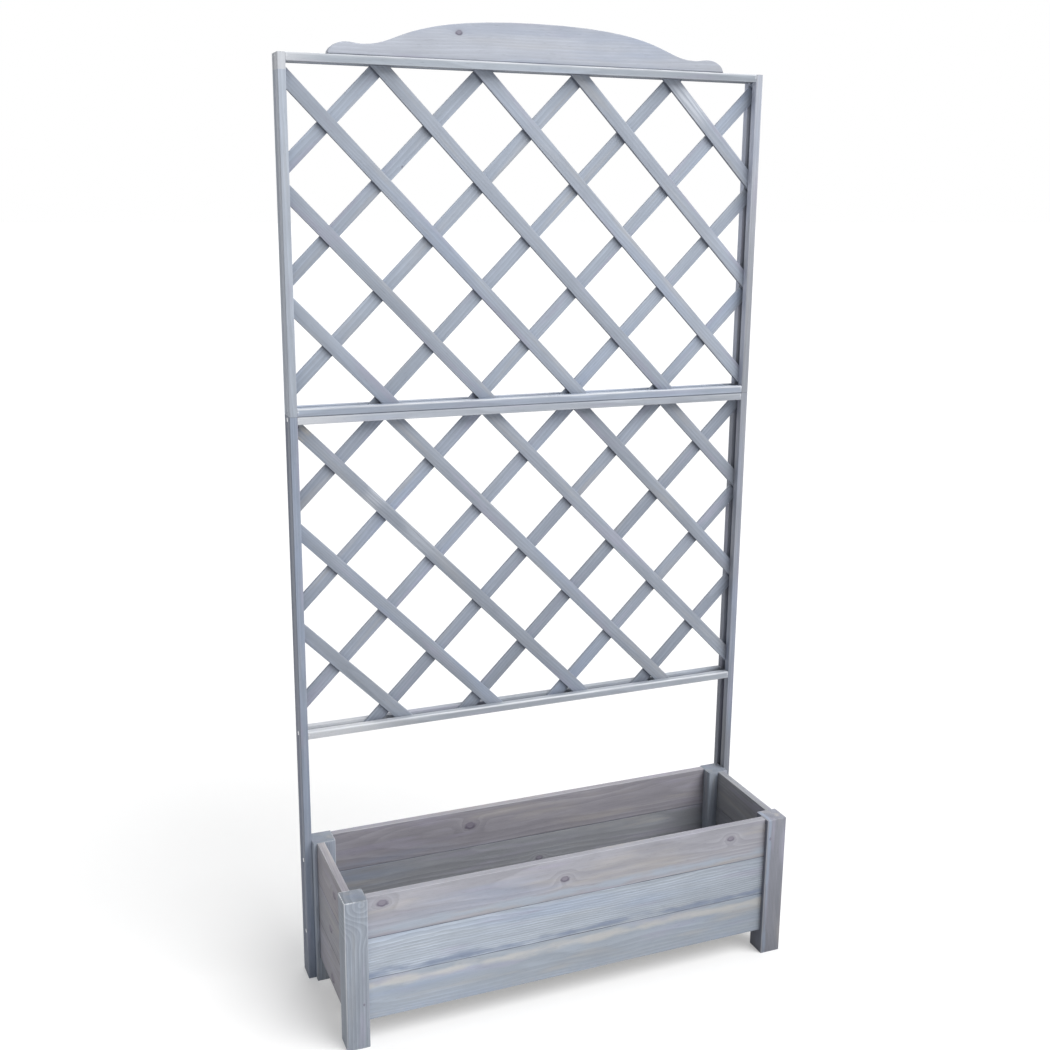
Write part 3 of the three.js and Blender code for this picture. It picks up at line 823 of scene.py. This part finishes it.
def slat_tone(slat_number, seed):
    """Makes each slat a little lighter or darker than the next."""
    def tone(nodes):
        inputs = {"W": nodes.math("ADD", slat_number(nodes), 0.37 * seed)}
        value = nodes.add("ShaderNodeTexWhiteNoise", inputs, noise_dimensions="1D")[0]
        return nodes.scaled(value, 0.08, 0.96)
    return tone


def below_front_slat(front_place):
    """How far a point lies below the lower edge of the slat that crosses in front of it."""
    def beyond(nodes):
        over = nodes.parts(front_place(nodes)[0])[1]
        return nodes.scaled(over, -1.0, -SLAT_WIDTH / 2)
    return beyond


def on_slat(count, along):
    """The place along the log of a place along one slat."""
    return along + SLAT_SHIFT * count


LAYERS = {
    # The front slats get painted shade on the faces of their lower edges.
    "upper_front": {"stain": screen_colour(164, 172, 185), "painted_shade_edge": (-1, 0.8),
                    "patches": ((on_slat(6, -1.020), 0.07, screen_colour(210, 215, 224), 0.8),)},
    "upper_rear": {"stain": screen_colour(165, 174, 188),
                   "knots": ((on_slat(5, 0.9656), -0.010, 0.0015),)},
    "lower_front": {"stain": screen_colour(150, 157, 169), "painted_shade_edge": (-1, 0.5),
                    "knots": ((on_slat(2, -1.152), 0.004, 0.0018),),
                    "patches": ((on_slat(2, -1.138), 0.020, screen_colour(190, 183, 173), 0.8),
                                (on_slat(2, -0.945), 0.030, screen_colour(200, 203, 210), 0.5),
                                (on_slat(2, -0.820), 0.060, screen_colour(196, 201, 210), 0.4))},
    "lower_rear": {"stain": screen_colour(152, 160, 174)},
}
layer_tree = lattice_layer_tree()
layers = {}
slat_places = {}
for seed, (layer, look) in enumerate(LAYERS.items(), 300):
    names = [f"slat_{layer}_{count}" for count in range(1, SLATS_PER_LAYER + 1)]
    boxes = [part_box(name) for name in names]
    low = Vector(min(box[0][axis] for box in boxes) for axis in range(3))
    high = Vector(max(box[1][axis] for box in boxes) for axis in range(3))
    direction, across, lines = slat_lines(names)
    depth = (low.y + high.y) / 2
    place, slat_number = on_slats(direction, across, lines, depth)
    slat_places[layer] = place
    # Each rear layer gets a painted shadow below the lower edges of the front slats that cross it.
    overlap = None
    if "rear" in layer:
        overlap = below_front_slat(slat_places[layer.replace("rear", "front")])
    material = stained_timber(f"{layer}_stain", place, seed=seed, pith=(0.006, -0.02),
                              lean=(0.004, 0.008), contrast=0.7, warmth=0.25, wear_and_highlight=(1, 0.10),
                              tone=slat_tone(slat_number, seed), overlap=overlap, **look)
    # The first slat's middle is where its line crosses the upright middle of the panel.
    first = Vector((0, depth, lines[0] / across.z))
    mesh = grown(layer_tree, f"lattice_{layer}", {
        "Slats": SLATS_PER_LAYER,
        "Slat Size": Vector((LONGER_THAN_ANY, SLAT_THICKNESS, SLAT_WIDTH)),
        "First": first, "Step": across * (lines[-1] - lines[0]) / (SLATS_PER_LAYER - 1),
        "Turn": -math.atan2(direction.z, direction.x),
        "Trim Size": high - low + PAST_THE_LAYER, "Trim Middle": (low + high) / 2,
        "Material": material,
    })
    skin = bmesh.new()
    skin.from_mesh(mesh)
    bmesh.ops.remove_doubles(skin, verts=skin.verts, dist=SAME_POINT)
    ease(skin, SLAT_EASED, SLAT_CORNER)
    skin.to_mesh(mesh)
    skin.free()
    finished(mesh, f"lattice_{layer}_wood", material, names)
    layers[layer] = (direction, across, lines, high.y)


# ---- Crest ----
# One board with an arched top and rounded shoulders, bandsawn and sanded, standing on the
# top rail. It is screwed from below through the rail, and it is the palest piece of all.
CREST_STAIN = screen_colour(180, 185, 196)
crest_look = stained_timber("crest_board_stain", on_board("crest_board", "x"), CREST_STAIN,
                            seed=401, pith=(-0.06, -0.05), lean=(0.010, 0.006),
                            # Painted shade, with some gathered stain, along its foot on the rail; it
                            # also gets darker towards the right, painted light.
                            seams=((-1, 0.0030),), knots=((-0.155, 0.0125, 0.0050),),
                            bands=((0.022, 0.022, screen_colour(168, 175, 190), 0.75),),
                            contrast=0.5, warmth=0.12, wear_and_highlight=(1, 0.1), painted_light_gradient=-0.18)
sawn_piece("crest_board", crest_look)


# ---- Screws ----
# Countersunk cross-head screws of zinc-plated steel, through the stiles into the ends of the
# rails and into the rear legs. Their heads lie a little below the face.
ZINC_GRAIN = 900                      # spots of the plating to a metre


def bright_zinc():
    material, nodes = new_finish("zinc_plated_steel")
    coordinates = nodes.add("ShaderNodeTexCoord")["Object"]
    mottle = nodes.noise(nodes.spread(coordinates, ZINC_GRAIN, ZINC_GRAIN), 1.0)
    colour = nodes.mix(mottle, screen_colour(226, 228, 230), screen_colour(246, 247, 248))
    rough = nodes.scaled(mottle, 0.18, 0.16)
    shader = nodes.add("ShaderNodeBsdfPrincipled",
                       {"Base Color": colour, "Metallic": 1.0, "Roughness": rough})[0]
    nodes.add("ShaderNodeOutputMaterial", {0: shader})
    return material


SCREW_HEAD_HEIGHT = 0.0012
SLOT_LENGTH, SLOT_WIDTH = 0.0042, 0.0009
SLOT_LIFT = 0.9                       # the slots' middle, as a share of the head's height
HEAD_FACETS = 24
SCREW_SUNK = {"lower": 0.00125, "upper": 0.0022}     # foot of the head below the face


def at_random(nodes, low, high, seed):
    """A number of its own for each instance."""
    value = nodes.add("FunctionNodeRandomValue", {"Min": low, "Max": high, "Seed": seed},
                      data_type="FLOAT")
    return next(output for output in value if output.enabled)


def screw_tree():
    """A screw head on each point of a mesh, its slots turned at random."""
    tree, nodes, given = group_tree("screw_heads", [
        ("Geometry", POINTS, None), ("Head Radius", NUMBER, SCREW_HEAD_RADIUS),
        ("Head Height", NUMBER, SCREW_HEAD_HEIGHT), ("Slot Length", NUMBER, SLOT_LENGTH),
        ("Slot Width", NUMBER, SLOT_WIDTH), ("Tilt", NUMBER, 0.0), ("Material", FINISH, None),
    ])
    foot = nodes.math("SUBTRACT", given["Head Radius"], given["Head Height"])
    head = nodes.add("GeometryNodeMeshCone",
                     {"Vertices": HEAD_FACETS, "Radius Top": given["Head Radius"],
                      "Radius Bottom": foot, "Depth": given["Head Height"]})[0]
    lift = nodes.joined(z=nodes.product(given["Head Height"], SLOT_LIFT))
    slots = []
    for size in ((given["Slot Length"], given["Slot Width"]),
                 (given["Slot Width"], given["Slot Length"])):
        slot_box = nodes.add("GeometryNodeMeshCube",
                             {"Size": nodes.joined(*size, given["Head Height"])})[0]
        slots.append(nodes.add("GeometryNodeTransform",
                               {"Geometry": slot_box, "Translation": lift})[0])
    cut = combined(tree, "DIFFERENCE", slots, base=head)
    placed = nodes.add("GeometryNodeInstanceOnPoints",
                       {"Points": given["Geometry"], "Instance": cut,
                        "Rotation": nodes.joined(y=given["Tilt"])})[0]
    spin = nodes.joined(z=at_random(nodes, 0.0, 1.5, seed=5))
    placed = nodes.add("GeometryNodeRotateInstances",
                       {"Instances": placed, "Rotation": spin, "Local Space": True})[0]
    give_out(nodes, placed, given["Material"])
    return tree


zinc = bright_zinc()
screws = screw_tree()
for side_name, side in (("left", -1), ("right", 1)):
    points = bpy.data.meshes.new(f"screw_points_{side_name}")
    points.from_pydata([spot - Vector((side * SCREW_SUNK[level], 0, 0))
                        for spot, spot_side, level in screw_spots if spot_side == side], [], [])
    mesh = grown(screws, f"screws_{side_name}",
                 {"Tilt": side * math.pi / 2, "Material": zinc}, points)
    finished(mesh, f"screws_{side_name}", zinc, [])


# ---- Staples ----
# Fine staples shot from behind hold the two layers together where they cross, and only their
# crowns show on the back of the lattice.
STAPLE_CROWN, STAPLE_WIRE = 0.010, 0.0011
STAPLE_PROUD = 0.0004                 # how thick the crown is, half of it out of the slat
STAPLE_ASKEW = 0.35                   # radians either way
CLEAR_OF_BARS = 0.012                 # no staple sits nearer than this to a stile or a rail


def staple_tree():
    """A staple crown on each point of a mesh, each a little askew."""
    tree, nodes, given = group_tree("staples", [
        ("Geometry", POINTS, None), ("Crown", NUMBER, STAPLE_CROWN),
        ("Wire", NUMBER, STAPLE_WIRE), ("Proud", NUMBER, STAPLE_PROUD),
        ("Material", FINISH, None),
    ])
    size = nodes.joined(given["Crown"], given["Proud"], given["Wire"])
    crown = nodes.add("GeometryNodeMeshCube", {"Size": size})[0]
    turn = nodes.joined(y=at_random(nodes, -STAPLE_ASKEW, STAPLE_ASKEW, seed=9))
    placed = nodes.add("GeometryNodeInstanceOnPoints",
                       {"Points": given["Geometry"], "Instance": crown, "Rotation": turn})[0]
    give_out(nodes, placed, given["Material"])
    return tree


staples = staple_tree()
for level in ("lower", "upper"):
    _, front_across, front_lines, _ = layers[f"{level}_front"]
    _, rear_across, rear_lines, back = layers[f"{level}_rear"]
    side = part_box(f"rail_{level}_top")[1].x - CLEAR_OF_BARS
    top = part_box(f"rail_{level}_top")[0].z - CLEAR_OF_BARS
    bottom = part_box(f"rail_{level}_bottom")[1].z + CLEAR_OF_BARS
    # Two lines cross where a point has both distances along their normals.
    crossing = Matrix(((front_across.x, front_across.z), (rear_across.x, rear_across.z))).inverted()
    spots = []
    for front_line in front_lines:
        for rear_line in rear_lines:
            x, z = crossing @ Vector((front_line, rear_line))
            if abs(x) < side and bottom < z < top:
                spots.append((x, back, z))
    points = bpy.data.meshes.new(f"staple_points_{level}")
    points.from_pydata(spots, [], [])
    mesh = grown(staples, f"staples_{level}", {"Material": zinc}, points)
    finished(mesh, f"staples_{level}", zinc, [])


# ---- Ground and light ----
# A plain pale floor, a broad soft lamp from the upper right, a weaker one from behind and an
# even, dim sky. The camera sees the sky as white.
GROUND_LIFT = 0.30                    # makes up to white what the pale ground swallows
GROUND_CLOUDS = 1.5                   # the ground's faint clouds to a metre
GROUND_HALF = 60.0
WHITE = (1, 1, 1, 1)


def seen_directly(nodes):
    """1 where the camera looks, also by way of a mirror or through glass."""
    rays = nodes.add("ShaderNodeLightPath")
    return nodes.largest(rays["Is Camera Ray"], rays["Is Glossy Ray"],
                         rays["Is Transmission Ray"])


def floor_finish():
    material, nodes = new_finish("pale_ground")
    coordinates = nodes.add("ShaderNodeTexCoord")["Object"]
    cloud = nodes.noise(nodes.spread(coordinates, GROUND_CLOUDS, GROUND_CLOUDS), 2.0)
    colour = nodes.mix(cloud, (0.70, 0.70, 0.70, 1), (0.73, 0.73, 0.73, 1))
    matt = nodes.add("ShaderNodeBsdfDiffuse", {"Color": colour})[0]
    lift = nodes.product(seen_directly(nodes), GROUND_LIFT)
    lift = nodes.add("ShaderNodeEmission", {"Color": WHITE, "Strength": lift})[0]
    both = nodes.add("ShaderNodeAddShader", {0: matt, 1: lift})[0]
    nodes.add("ShaderNodeOutputMaterial", {0: both})
    return material


ground_mesh = bpy.data.meshes.new("ground")
ground_mesh.from_pydata([(-GROUND_HALF, -GROUND_HALF, 0), (GROUND_HALF, -GROUND_HALF, 0),
                         (GROUND_HALF, GROUND_HALF, 0), (-GROUND_HALF, GROUND_HALF, 0)],
                        [], [(0, 1, 2, 3)])
ground_mesh.materials.append(floor_finish())
ground = in_scene("ground", ground_mesh)

LAMPS = {
    # The direction towards it, its energy, and how broad it looks, in degrees.
    "soft_daylight": (Vector((0.40, -0.52, 0.755)), 2.7, 45),
    "soft_back_light": (Vector((0.22, 0.92, 0.32)), 1.1, 60),
}
for name, (towards, energy, breadth) in LAMPS.items():
    lamp = bpy.data.lights.new(name, "SUN")
    lamp.energy = energy
    lamp.angle = math.radians(breadth)
    in_scene(name, lamp).rotation_euler = towards.to_track_quat("Z", "Y").to_euler()

SKY_STRENGTH = 0.38
world = bpy.data.worlds.new("sky")
bpy.context.scene.world = world
world.use_nodes = True
sky = Nodes(world.node_tree)
strength = sky.scaled(seen_directly(sky), 1.0 - SKY_STRENGTH, SKY_STRENGTH)
background = sky.add("ShaderNodeBackground", {"Color": WHITE, "Strength": strength})[0]
sky.add("ShaderNodeOutputWorld", {0: background})

bpy.context.scene.view_settings.view_transform = "Standard"
